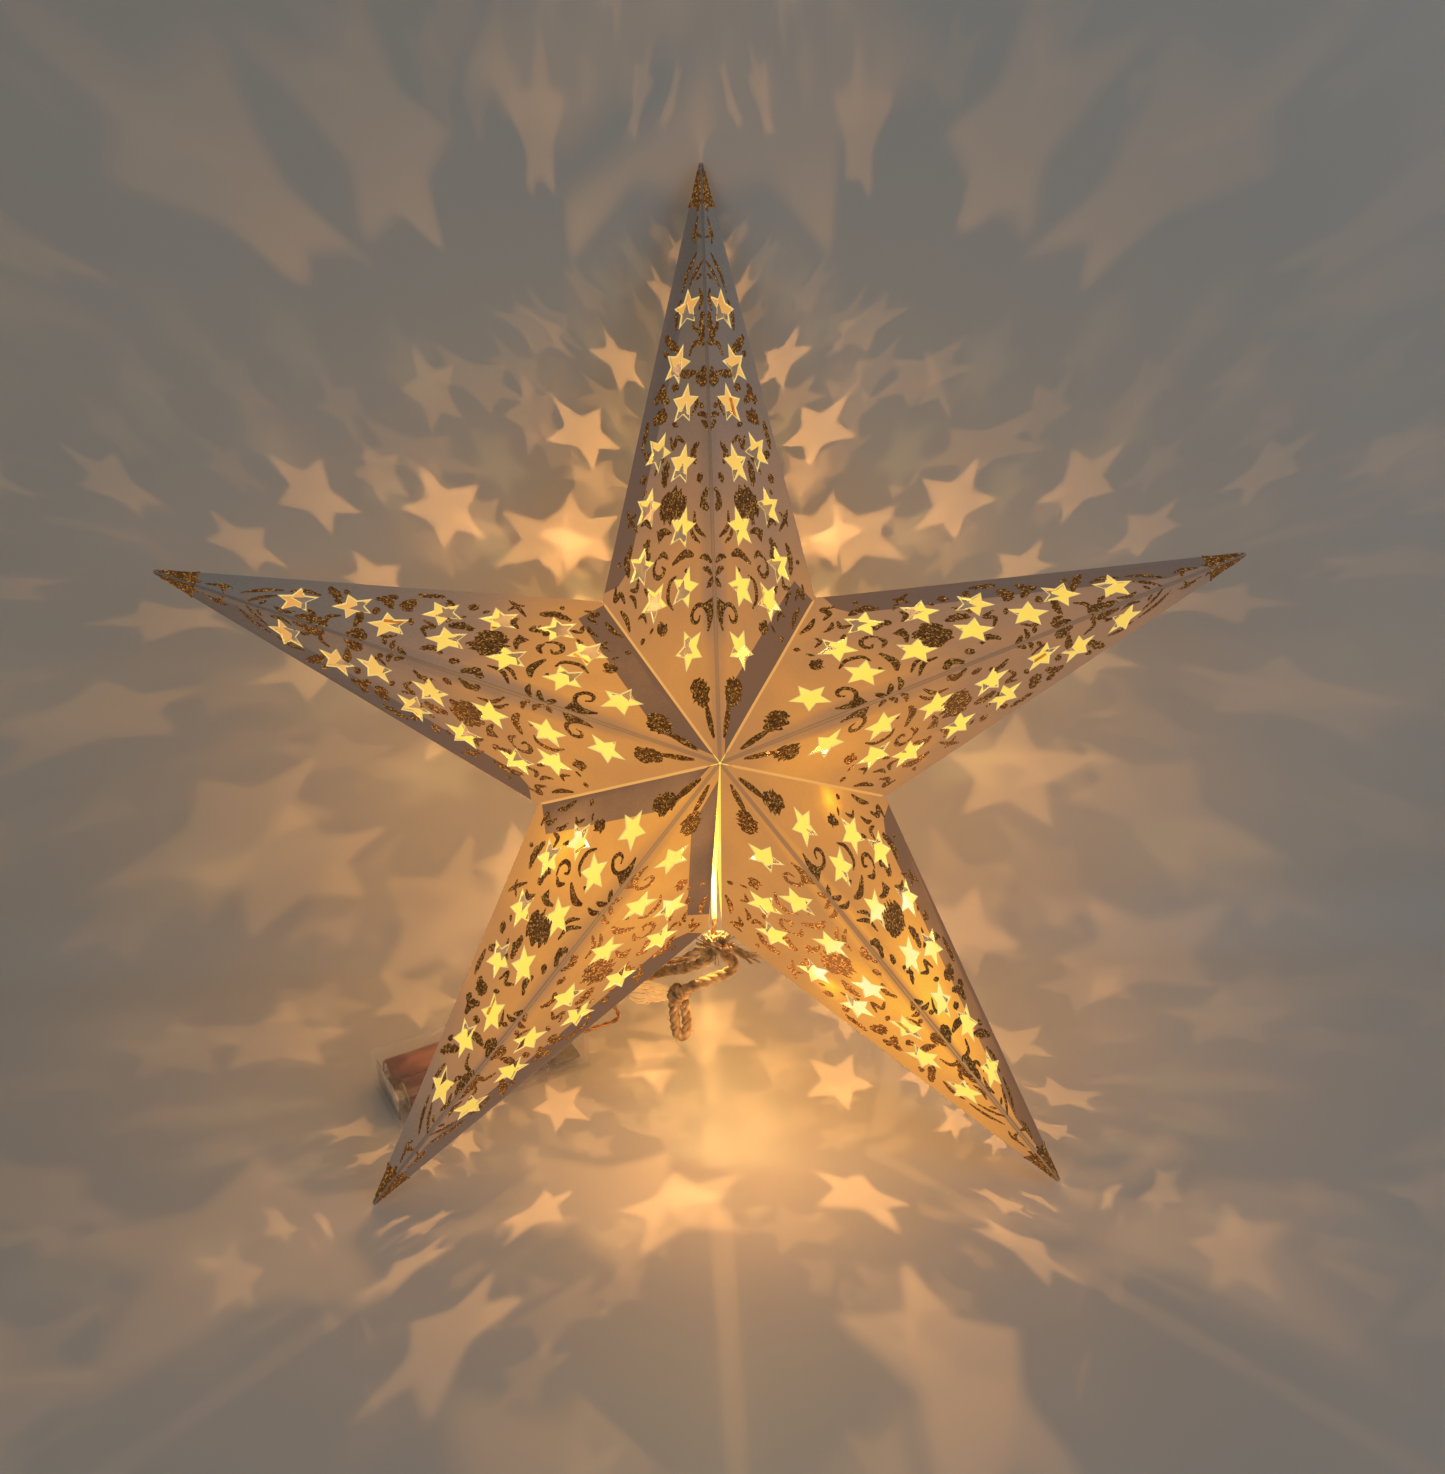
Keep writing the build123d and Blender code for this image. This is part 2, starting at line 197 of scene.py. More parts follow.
card = glowing_card("backlit_card", (0.62, 0.55, 0.49), LIT_CARD, 0.5)
# The card over a glue tab is painted darker, in its paper and in its glow: painted shade of the tab.
tab_shaded_card = glowing_card("backlit_card_tab_shade", (0.50, 0.43, 0.40), LIT_TAB_SHADE, 0.45)
# A dark line at every fold: painted shade.
crease_shade = glowing_card("crease_painted_shade", (0.50, 0.42, 0.36), LIT_CREASE_SHADE, 0.5)
card_inside = glowing_card("lit_inner_card", (0.8, 0.6, 0.3), LIT_INSIDE, 0.12)
fin_card = glowing_card("seam_fin_card", (0.75, 0.62, 0.5), LIT_FIN, 0.4)


# The card's cut edges and the thin rim round each hole glow: painted light from the bulbs inside.
def cut_edge_material():
    made = blank("lit_cut_edge")
    fibres = noise_at(made, 2500, 3)
    colour = ramp(made, fibres, (0.3, (1.0, 0.62, 0.16)), (0.7, (1.0, 0.80, 0.28)))
    surface = add(made, "BsdfPrincipled", Base_Color=(0.9, 0.8, 0.6, 1), Roughness=0.7)
    light = add(made, "Emission", Color=colour, Strength=0.95)
    mixed = add(made, "MixShader", Fac=0.85, i1=surface.outputs[0], i2=light.outputs[0])
    return close(made, mixed.outputs[0])


def glitter_material():
    """Gold glitter in clear glue: small flakes that each tilt and shine on their own, and glow faintly with
    painted light.
    """
    made = blank("gold_glitter")
    place = add(made, "TexCoord").outputs["Object"]
    flakes = add(made, "TexVoronoi", Vector=place, Scale=2600.0)
    pick = add(made, "SeparateColor", Color=flakes.outputs["Color"]).outputs[0]
    colour = ramp(made, pick, (0.0, (0.07, 0.025, 0.004)), (0.5, (0.16, 0.056, 0.008)),
                  (0.82, (0.33, 0.135, 0.02)), (0.98, (0.88, 0.46, 0.1)))
    tilt = bump(made, pick, 0.7, 0.12)
    surface = add(made, "BsdfPrincipled", Base_Color=colour, Metallic=0.35, Roughness=0.38, Normal=tilt)
    # A faint glow on the flakes: painted light.
    light = add(made, "Emission", Color=colour, Strength=0.3)
    both = add(made, "AddShader", i0=surface.outputs[0], i1=light.outputs[0])
    return close(made, both.outputs[0])


def plain_material(name, light, dark, scale, roughness, bump_size=0.03, **sockets):
    """A mottled finish between two colours with a fine surface."""
    made = blank(name)
    mottle = noise_at(made, scale, 5)
    fine = noise_at(made, scale * 6, 3)
    colour = ramp(made, mottle, (0.35, dark), (0.65, light))
    surface = add(made, "BsdfPrincipled", Base_Color=colour, Roughness=roughness,
                  Normal=bump(made, fine, 0.4, bump_size), **sockets)
    return close(made, surface.outputs[0])


def glowing_bead_material():
    made = blank("lit_bead")
    facing = add(made, "LayerWeight", Blend=0.4).outputs["Facing"]
    colour = ramp(made, facing, (0.2, (1.0, 0.93, 0.62)), (0.9, (1.0, 0.62, 0.16)))
    light = add(made, "Emission", Color=colour, Strength=6.0)
    return close(made, light.outputs[0])


def clear_plastic_material():
    made = blank("clear_plastic")
    haze = noise_at(made, 320, 4)
    surface = add(made, "BsdfPrincipled", Base_Color=(0.93, 0.90, 0.85, 1), Roughness=0.09, IOR=1.46,
                  Alpha=0.1, Normal=bump(made, haze, 0.25, 0.05),
                  Specular_IOR_Level=0.8)
    return close(made, surface.outputs[0])


cut_edge = cut_edge_material()
glitter = glitter_material()
tab_card = plain_material("glue_tab_card", (0.86, 0.66, 0.40), (0.74, 0.52, 0.3), 700, 0.8)
copper = plain_material("copper_wire", (0.78, 0.45, 0.22), (0.55, 0.28, 0.12), 900, 0.28, Metallic=0.9)
lit_copper = plain_material("lit_copper_wire", (1.0, 0.62, 0.26), (0.8, 0.42, 0.16), 900, 0.3, Metallic=0.6,
                            Emission_Color=(1.0, 0.55, 0.12, 1), Emission_Strength=0.7)
bead_light = glowing_bead_material()
jute_fibre = plain_material("jute_fibre", (0.72, 0.52, 0.28), (0.27, 0.175, 0.08), 420, 0.9, 0.12)
# Paler frayed fibres, with an emission that is painted light from the star.
pale_fibre_painted_glow = plain_material("pale_jute_fibre_painted_glow", (0.90, 0.62, 0.28), (0.66, 0.42, 0.17), 500, 0.85, 0.1,
                            Emission_Color=(0.95, 0.55, 0.18, 1), Emission_Strength=0.45)
clear_plastic = clear_plastic_material()
red_sleeve = plain_material("red_cell_sleeve", (0.24, 0.014, 0.010), (0.17, 0.008, 0.007), 260, 0.3, 0.01)
contact_metal = plain_material("contact_metal", (0.80, 0.78, 0.74), (0.62, 0.6, 0.56), 800, 0.24, 0.02,
                               Metallic=1.0)
circuit_board = plain_material("circuit_board", (0.30, 0.27, 0.20), (0.20, 0.18, 0.13), 600, 0.45)
black_plastic = plain_material("black_plastic", (0.045, 0.045, 0.048), (0.025, 0.025, 0.027), 900, 0.5)


# ---- mesh helpers
def mesh_object(name, built, materials, smooth):
    mesh = bpy.data.meshes.new(name)
    built.to_mesh(mesh)
    built.free()
    for finish in materials:
        mesh.materials.append(finish)
    mesh.polygons.foreach_set("use_smooth", [smooth] * len(mesh.polygons))
    made = bpy.data.objects.new(name, mesh)
    bpy.context.collection.objects.link(made)
    return made


def new_piece(name, built, body, materials, smooth=False):
    piece = mesh_object(name, built, materials, smooth)
    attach(piece, body)
    return piece


def sweep(built, path, radius_at, sides=6):
    """A closed tube along path with its own radius at each share of the way."""
    rings = []
    side = None
    for place, point in enumerate(path):
        ahead = path[min(place + 1, len(path) - 1)] - path[max(place - 1, 0)]
        ahead.normalize()
        if side is None:
            side = ahead.orthogonal().normalized()
        side = (side - ahead * side.dot(ahead)).normalized()
        other = ahead.cross(side)
        radius = radius_at(place / (len(path) - 1))
        rings.append([built.verts.new(point + (side * math.cos(turn) + other * math.sin(turn)) * radius)
                      for turn in [2 * math.pi * step / sides for step in range(sides)]])
    for first, second in zip(rings, rings[1:]):
        for step in range(sides):
            after = (step + 1) % sides
            built.faces.new((first[step], first[after], second[after], second[step]))
    for ring in (rings[0][::-1], rings[-1]):
        built.faces.new(ring)


def smooth_path(points, steps=6):
    """Points on a smooth curve through the given ones."""
    ends = [points[0] * 2 - points[1], *points, points[-1] * 2 - points[-2]]
    path = []
    for before, start, end, after in zip(ends, ends[1:], ends[2:], ends[3:]):
        for step in range(steps):
            share = step / steps
            path.append(0.5 * ((2 * start) + (end - before) * share
                               + (2 * before - 5 * start + 4 * end - after) * share ** 2
                               + (3 * start - before - 3 * end + after) * share ** 3))
    return path + [points[-1].copy()]


# ---- cords
LEAD_DIAMETER, JUTE, HAIR = 1.4, 3.0, 0.05
JUTE_STRANDS, LEAD_WIRES = 3, 2
JUTE_STEP, LEAD_STEP = 0.45 * MM, 0.5 * MM    # between points along a cord
# Routes: across, up and behind the star's centre; LEAD_TO_BOX alone is X, Y and Z
LEAD_FROM_STAR = [(0, -48, 2.7), (0, -55.5, 2.7), (-10, -61.3, 6), (-20.5, -62, 15), (-29, -69.5, 29),
                  (-34.5, -77.5, 43)]
LEAD_TO_BOX = [(-29.5, -60, -240.5), (-28.2, -57.2, -247.3), (-34, -57.5, -249.5),
               (-39.9, -60.4, -249.5)]
LEFT_CORD = [(-1.5, -57.5, -3.6), (-4.7, -60.5, -0.8), (-9.8, -62.4, 3.5), (-16, -64.3, 10),
             (-22.5, -68.6, 17), (-30, -76, 23), (-38.5, -82.7, 29), (-48, -87, 36), (-59, -88.4, 42.5),
             (-70, -87.8, 48.2)]
RIGHT_CORD = [(2, -57, -3.6), (4.7, -58.8, -2.8), (5.2, -61.6, -1.2), (1.4, -64, 0.6), (-4, -66, 2),
              (-8.6, -68.2, 3.6)]
KNOT = (-10.6, -69.8, 4.7)
END_LOOP = [(-12.1, -72.1, 5.8), (-11.7, -77, 8.1), (-11.5, -82, 10.5), (-9.8, -84, 11.4),
            (-8.1, -82, 10.4), (-8.3, -77, 8.1), (-8.9, -72.2, 5.7)]
TIE = (0, -54.5, -4.6)
TIE_ENDS = [(-8.6, -57.5, -6.2), (8.6, -57.2, -6.2)]
TASSEL_END = (-24.5, -69.6, 9.8)
TASSEL_FIBRES, FIBRE_RADIUS, TIED_SPREAD, LOOSE_SPREAD = 30, 0.25, 1.6, 3.4
JUTE_BODY = "lower_left_front_left"
LEAD_BODY = "top_back_left"


def places(route):
    return [star_point(*point) for point in route]


def spline_points(route):
    """Points along the smooth line of a route, in metres."""
    curve = bpy.data.curves.new("route", "CURVE")
    curve.dimensions = "3D"
    spline = curve.splines.new("NURBS")
    spline.points.add(len(route) - 1)
    for point, place in zip(spline.points, route):
        point.co = (*(place * MM), 1)
    spline.order_u = 3
    spline.use_endpoint_u = True
    spline.resolution_u = 16
    holder = bpy.data.objects.new("route", curve)
    mesh = bpy.data.meshes.new_from_object(holder)
    points = [vertex.co.copy() for vertex in mesh.vertices]
    bpy.data.objects.remove(holder)
    bpy.data.meshes.remove(mesh)
    bpy.data.curves.remove(curve)
    return points


def path_length(path):
    return sum((after - before).length for before, after in zip(path, path[1:]))


def even_path(path, gap):
    """The same line with points an even gap apart."""
    count = max(2, round(path_length(path) / gap))
    wanted = path_length(path) / count
    points, travelled, target = [path[0].copy()], 0.0, wanted
    for before, after in zip(path, path[1:]):
        run = (after - before).length
        while travelled + run >= target and len(points) < count:
            points.append(before.lerp(after, (target - travelled) / run))
            target += wanted
        travelled += run
    return points + [path[-1].copy()]


def laid_strands(built, path, strands, strand_radius, offset, pitch, rough):
    """Strands twisted round a path, each a little uneven."""
    side = None
    frames = []
    for place in range(len(path)):
        ahead = (path[min(place + 1, len(path) - 1)] - path[max(place - 1, 0)]).normalized()
        if side is None:
            side = ahead.orthogonal().normalized()
        side = (side - ahead * side.dot(ahead)).normalized()
        frames.append((side.copy(), ahead.cross(side)))
    step = path_length(path) / (len(path) - 1)
    for strand in range(strands):
        route = []
        for place, (point, (side, other)) in enumerate(zip(path, frames)):
            turn = 2 * math.pi * (strand / strands + place * step / pitch)
            shift = offset * (1 + rough * noise.noise(point * 600 + Vector((strand, 0, 0))))
            route.append(point + (side * math.cos(turn) + other * math.sin(turn)) * shift)
        swell = lambda share, strand=strand: strand_radius * (
            1 + rough * noise.noise(Vector((share * 40, strand * 7.3, 0))))
        sweep(built, route, swell, 8)


def fuzz(built, path, reach, count, length, draw):
    """Loose hairs that stand out from a cord."""
    for _ in range(count):
        place = draw.randrange(1, len(path) - 1)
        ahead = (path[place + 1] - path[place - 1]).normalized()
        out = Vector([draw.uniform(-1, 1) for _ in range(3)]).cross(ahead).normalized()
        start = path[place] + out * reach * 0.75
        size = length * draw.uniform(0.4, 1.0)
        lean = ahead * draw.choice((-1, 1)) * draw.uniform(0.5, 1.2)
        route = [start, start + (out * 0.45 + lean * 0.4) * size, start + (out * 0.6 + lean) * size]
        sweep(built, smooth_path(route, 3), lambda share: HAIR * MM * (1.1 - share), 3)


def fibre(built, route, steps, radius):
    """A thick fibre through places in millimetres."""
    sweep(built, smooth_path([point * MM for point in route], steps), lambda share: radius * MM, 3)


def jute_cord(name, route, node_names, seed):
    draw = random.Random(seed)
    smooth = spline_points(route)
    path = even_path(smooth, JUTE_STEP)
    built = bmesh.new()
    laid_strands(built, path, JUTE_STRANDS, 0.84 * MM, 0.70 * MM, 8.0 * MM, 0.16)
    fuzz(built, path, 1.4 * MM, int(path_length(path) / MM * 2.2), 2.6 * MM, draw)
    piece = new_piece(name, built, JUTE_BODY, [jute_fibre], True)
    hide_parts(*node_names)
    return piece


def knot_piece():
    """An overhand knot: two strands wound round each other and the cord that goes through."""
    centre = star_point(*KNOT) * MM
    along = (star_point(*END_LOOP[0]) - star_point(*RIGHT_CORD[-1])).normalized()
    across = along.cross(star_front).normalized()
    outwards = along.cross(across)
    built = bmesh.new()
    for wrap, (shift, tilt) in enumerate(((-1.1, 0.5), (1.0, -0.45), (0.0, 1.5))):
        route = []
        for step in range(33):
            turn = 2 * math.pi * step / 32
            ring = across * math.cos(turn) + outwards * math.sin(turn)
            lift = along * (shift + tilt * math.sin(turn + wrap)) * MM
            route.append(centre + ring * (1.75 + 0.12 * math.sin(3 * turn)) * MM + lift)
        laid_strands(built, route, JUTE_STRANDS, 0.62 * MM, 0.6 * MM, 5.5 * MM, 0.2)
    fuzz(built, [centre - along * 2 * MM, centre, centre + along * 2 * MM], 2.9 * MM, 26, 2.4 * MM,
         random.Random(5))
    piece = new_piece("jute_overhand_knot", built, JUTE_BODY, [jute_fibre], True)
    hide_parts("jute_knot")
    return piece


def make_tassel():
    """Loose fibres that fan out from the knot."""
    draw = random.Random(8)
    knot_centre, end = star_point(*KNOT), star_point(*TASSEL_END)
    start = knot_centre + (end - knot_centre).normalized() * 2.4
    run = end - start
    across = run.normalized().orthogonal().normalized()
    other = run.normalized().cross(across)
    built = bmesh.new()
    for _ in range(TASSEL_FIBRES):
        turn, share = draw.uniform(0, 2 * math.pi), math.sqrt(draw.random())
        out = (across * math.cos(turn) + other * math.sin(turn)) * share
        reach = draw.uniform(0.78, 1.0)
        drift = Vector([draw.uniform(-1, 1) for _ in range(3)])
        route = [start + out * TIED_SPREAD,
                 start + run * 0.35 * reach + out * (TIED_SPREAD + LOOSE_SPREAD) / 2 + drift,
                 start + run * 0.7 * reach + out * LOOSE_SPREAD - drift * 0.6,
                 start + run * reach + out * LOOSE_SPREAD * draw.uniform(0.5, 1.0)]
        sweep(built, smooth_path([point * MM for point in route], 5),
              lambda part: FIBRE_RADIUS * MM * (1.15 - 0.8 * part), 4)
    tassel = new_piece("jute_frayed_tassel", built, JUTE_BODY, [pale_fibre_painted_glow], True)
    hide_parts("jute_tassel")
    return tassel


def make_jute():
    knot, tassel = knot_piece(), make_tassel()
    jute_cord("jute_left_rope", places(LEFT_CORD), ["jute_left_cord"], 2)
    doubled = places(RIGHT_CORD + [KNOT] + END_LOOP)
    jute_cord("jute_right_rope", doubled, ["jute_right_cord", "jute_end_loop"], 3)


def make_tie():
    """Turns of cord round the slit's lower end, two short ends, and the frayed fibres on it."""
    tie_centre = star_point(*TIE)
    built = bmesh.new()
    winds = [tie_centre + Vector((math.cos(turn) * 2.6, 0, 0)) + star_front * math.sin(turn) * 2.1
             + star_up * (turn / 6 - 1.4) for turn in [step * 0.28 for step in range(74)]]
    laid_strands(built, [point * MM for point in winds], JUTE_STRANDS, 0.62 * MM, 0.6 * MM, 5 * MM, 0.2)
    for place, end in enumerate(places(TIE_ENDS)):
        route = [tie_centre, tie_centre.lerp(end, 0.5) + star_front * 0.9 + star_up * 0.8, end]
        path = even_path([point * MM for point in smooth_path(route, 8)], JUTE_STEP)
        laid_strands(built, path, JUTE_STRANDS, 0.62 * MM, 0.6 * MM, 7 * MM, 0.2)
        draw = random.Random(20 + place)
        fuzz(built, path, 1.2 * MM, 60, 2.6 * MM, draw)
        away = (end - tie_centre).normalized()
        for _ in range(26):
            spread = Vector([draw.uniform(-1, 1) for _ in range(3)])
            fibre(built, [end + spread * 0.6 - away * 1.5, end + spread * 1.0 + away * 0.6,
                          end + spread * 1.7 + away * draw.uniform(1.2, 2.8)], 3, 0.1)
    draw = random.Random(31)
    for _ in range(90):
        turn = draw.uniform(0, 2 * math.pi)
        out = Vector((math.cos(turn), 0, 0)) + star_up * math.sin(turn) * 0.8
        fibre(built, [tie_centre + star_front * 2.0, tie_centre + star_front * 2.9 + out * 2.6,
                      tie_centre + star_front * 2.0 + out * draw.uniform(3.6, 6.4)], 4, 0.14)
    tie = new_piece("jute_wrapped_tie", built, JUTE_BODY, [jute_fibre], True)
    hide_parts("jute_tie")


def make_lead():
    route = places(LEAD_FROM_STAR) + [Vector(point) for point in LEAD_TO_BOX]
    smooth = spline_points(route)
    path = even_path(smooth, LEAD_STEP)
    built = bmesh.new()
    laid_strands(built, path, LEAD_WIRES, 0.35 * MM, 0.35 * MM, 6.5 * MM, 0.03)
    lead = new_piece("twisted_copper_lead", built, LEAD_BODY, [copper], True)
    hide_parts("battery_lead")


make_jute()
make_tie()
make_lead()


# ---- panels
HOLE_RADIUS, HOLE_WAIST, RIM = 5.3, 0.47, 0.3
# Star holes of a panel: along the ridge, out from it, and lean in degrees
HOLES = [(126, 7.2, -13), (111.5, 12, 12), (99, 9.3, 0), (89.5, 21, 19), (82.5, 11.2, 3),
         (75, 25.8, 4), (65, 12, 5), (59.5, 29.5, 4), (48.3, 11.4, 4), (48, 24, 24), (31.5, 10, 34)]
GRID = 4.0                # between the points of a panel's mesh
ridge_length = math.hypot(TIP_RADIUS, PEAK_HEIGHT)
corner_along = (TIP_RADIUS * CORNER_RADIUS * math.cos(HALF_ANGLE) + PEAK_HEIGHT**2) / ridge_length
seam_length = math.hypot(CORNER_RADIUS, PEAK_HEIGHT)
corner_out = math.sqrt(seam_length**2 - corner_along**2)
outer_length = math.hypot(ridge_length - corner_along, corner_out)
seam_along = Vector((corner_along, corner_out)) / seam_length
seam_inward = Vector((seam_along.y, -seam_along.x))
outer_along = Vector((corner_along - ridge_length, corner_out)) / outer_length
outer_inward = Vector((-outer_along.y, outer_along.x))


def from_seam(along, inward):
    return seam_along * along + seam_inward * inward


def from_outer(along, inward):
    return Vector((ridge_length, 0)) + outer_along * along + outer_inward * inward


def edge_distances(spot):
    """How far a place in a panel is from its ridge, its seam and its outer edge."""
    return spot.y, seam_inward.dot(spot), outer_inward.dot(spot - Vector((ridge_length, 0)))


def star_outline(hole, extra=0.0):
    along, out, lean = hole
    points = []
    for step in range(10):
        radius = (HOLE_RADIUS + extra * 1.9) if step % 2 == 0 else HOLE_RADIUS * HOLE_WAIST + extra
        angle = math.radians(-90 - lean + 36 * step)
        points.append(Vector((along + radius * math.cos(angle), out + radius * math.sin(angle))))
    return points


def inside(spot, outline):
    crossings = 0
    for start, end in zip(outline, outline[1:] + outline[:1]):
        if (start.y > spot.y) != (end.y > spot.y):
            at = start.x + (spot.y - start.y) / (end.y - start.y) * (end.x - start.x)
            crossings += at > spot.x
    return crossings % 2 == 1


# How strongly each arm glows towards the centre, and lights close behind its panels:
# side, along, out, reach and strength
ARM_GLOW = {"top": 0.53, "right": 0.50, "lower_right": 0.60, "lower_left": 0.60, "left": 0.54}
CLOSE_LIGHTS = {
    "top": [("left", 30, 16, 30, 0.05)],
    "right": [("right", 27, 9, 15, 0.25), ("right", 50, 24, 40, 0.12), ("right", 135, 9, 45, 0.22)],
    "lower_right": [("left", 92, 16, 27, 0.55), ("right", 98, 13, 32, 0.50), ("left", 37, 25.5, 3.6, 1.0),
                    ("right", 140, 8, 34, 0.36), ("right", 81, 24.4, 3.4, 0.9), ("left", 37, 27, 14, 0.16),
                    ("left", 140, 8, 30, 0.2), ("right", 77, 11, 6, 0.3)],
    "lower_left": [("right", 53, 28, 8, 0.55), ("right", 62, 24, 26, 0.16), ("left", 34, 8, 36, 0.22),
                   ("left", 105, 9, 50, 0.20), ("right", 110, 9, 50, 0.08)],
    "left": [("right", 42, 22, 24, 0.22), ("left", 50, 26, 30, 0.12)],
}


def glow_at(spot, arm, side, face):
    """The light that comes through the card at a place in a panel, from 0 to 1."""
    glow = ARM_GLOW[arm] * max(0.0, min(1.0, (164 - spot.x) / 124)) ** 1.3
    for light_side, along, out, reach, strength in CLOSE_LIGHTS[arm]:
        if face == "back" or light_side == side:
            away = (spot - Vector((along, out))).length
        else:
            away = (spot - Vector((along, -out))).length
        glow += strength * math.exp(-((away / reach) ** 2))
    return glow


BROAD_SWELL, FINE_SWELL = 0.26, 0.05


class Panel:
    """One triangular panel's place. X runs along the ridge, Y out to the inner corner, Z outwards."""

    def __init__(self, arm, side, face):
        self.arm, self.side, self.face = arm, side, face
        self.body = f"{arm}_{face}_{side}"
        turn = 2 * HALF_ANGLE * ARMS[arm]
        corner_turn = turn + SIDES[side] * HALF_ANGLE
        self.peak = star_point(0, 0, -FACES[face] * PEAK_HEIGHT)
        tip = star_point(TIP_RADIUS * math.sin(turn), TIP_RADIUS * math.cos(turn), 0)
        corner = star_point(CORNER_RADIUS * math.sin(corner_turn), CORNER_RADIUS * math.cos(corner_turn), 0)
        self.x = (tip - self.peak).normalized()
        arc = corner - self.peak
        self.y = (arc - self.x * arc.dot(self.x)).normalized()
        self.z = self.x.cross(self.y)
        if self.z.dot(self.peak - star_centre) < 0:
            self.z = -self.z
        self.seed = 7.0 * list(ARMS).index(arm) + 3.1 * SIDES[side] + 1.7 * FACES[face]

    def wave(self, spot):
        """Card is never quite flat: a slight, broad swell that dies out at every fold."""
        hold = min(1.0, max(0.0, min(edge_distances(spot)) / 11.0))
        hold = hold * hold * (3 - 2 * hold)
        broad = noise.noise(Vector((spot.x / 42, spot.y / 30, self.seed)))
        fine = noise.noise(Vector((spot.x / 15, spot.y / 13, self.seed + 50)))
        return hold * (BROAD_SWELL * broad + FINE_SWELL * fine)

    def place(self, spot, height=0.0):
        lift = height + self.wave(spot)
        return (self.peak + self.x * spot.x + self.y * spot.y + self.z * lift) * MM


def card_outline():
    """Right up to the folds, so that no light shows between two panels."""
    corner = geometry.intersect_line_line_2d(
        from_seam(0, 0.3), from_seam(200, 0.3), from_outer(0, 0), from_outer(200, 0))
    return [Vector((0.35, 0)), Vector((ridge_length - 1.6, 0)), from_outer(1.6, 0), corner,
            from_seam(0.7, 0.3)]


def divided(outline, gap):
    points = []
    for start, end in zip(outline, outline[1:] + outline[:1]):
        count = max(1, round((end - start).length / gap))
        points += [start.lerp(end, step / count) for step in range(count)]
    return points


def counterclockwise(outline):
    area = sum(start.cross(end) for start, end in zip(outline, outline[1:] + outline[:1]))
    return outline if area > 0 else outline[::-1]


def tab_outlines(panel):
    """Where a glue tab lies behind the card: along a seam, an outer edge, or the slit."""
    seam = [from_seam(3, 0.35), from_seam(seam_length - 1.6, 0.35), from_seam(seam_length - 5, 9.4),
            from_seam(16, 9.4)]
    outer = [from_outer(3, 0.1), from_outer(outer_length - 2.5, 0.1), from_outer(outer_length - 5, 6),
             from_outer(outer_length - 9, 8.6), from_outer(outer_length - 14, 9), from_outer(26, 8.4)]
    slit = [from_seam(6, 0.35), from_seam(seam_length - 7, 0.35), from_seam(seam_length - 12, 7.6),
            from_seam(20, 7.6)]
    if panel.side == "left":
        return [outer, slit] if panel.arm == "lower_left" else [outer]
    return [] if panel.arm in ("right", "lower_right") else [seam]


# Places in a card's list of materials
CARD_FACE, TAB_SHADE_FACE, INNER_FACE, RIM_FACE, CREASE_SHADE_FACE = range(5)


def card_layout(panel):
    """The flat triangles of a panel, each with the place of its material."""
    outlines = [divided(card_outline(), GRID)]
    outlines += [star_outline(hole) for hole in HOLES]
    # A thin rim round each hole takes the cut edge's painted glow.
    outlines += [star_outline(hole, RIM) for hole in HOLES]
    tabs = tab_outlines(panel)
    outlines += tabs
    # A thin strip along the ridge, painted darker as the shade in its crease.
    outlines.append([Vector((1.2, 0.02)), Vector((ridge_length - 4, 0.02)), Vector((ridge_length - 4, 0.42)),
                     Vector((1.2, 0.42))])
    points, faces = [], []
    for outline in map(counterclockwise, outlines):
        faces.append(list(range(len(points), len(points) + len(outline))))
        points += outline
    row = 0
    while row * GRID < corner_out:
        for step in range(int(ridge_length / GRID) + 1):
            spot = Vector((step * GRID + (row % 2) * GRID / 2, row * GRID + 1.5))
            if min(edge_distances(spot)) > 0.5 * GRID:
                points.append(spot)
        row += 1
    spots, _, triangles, sources, _, kinds = geometry.delaunay_2d_cdt(points, [], faces, 1, 1e-5)
    count = len(HOLES)
    hole_ids = set(range(1, 1 + count))
    rim_ids = set(range(1 + count, 1 + 2 * count))
    tab_ids = set(range(1 + 2 * count, 1 + 2 * count + len(tabs)))
    crease_shade_id = 1 + 2 * count + len(tabs)
    kept = []
    for triangle, kind in zip(triangles, kinds):
        kind = set(kind)
        if 0 not in kind or kind & hole_ids:
            continue
        if kind & rim_ids:
            finish = RIM_FACE
        elif crease_shade_id in kind:
            finish = CREASE_SHADE_FACE
        else:
            # Where a tab lies behind, the card takes the painted tab shade.
            finish = TAB_SHADE_FACE if kind & tab_ids else CARD_FACE
        kept.append((triangle, finish))
    return spots, kept


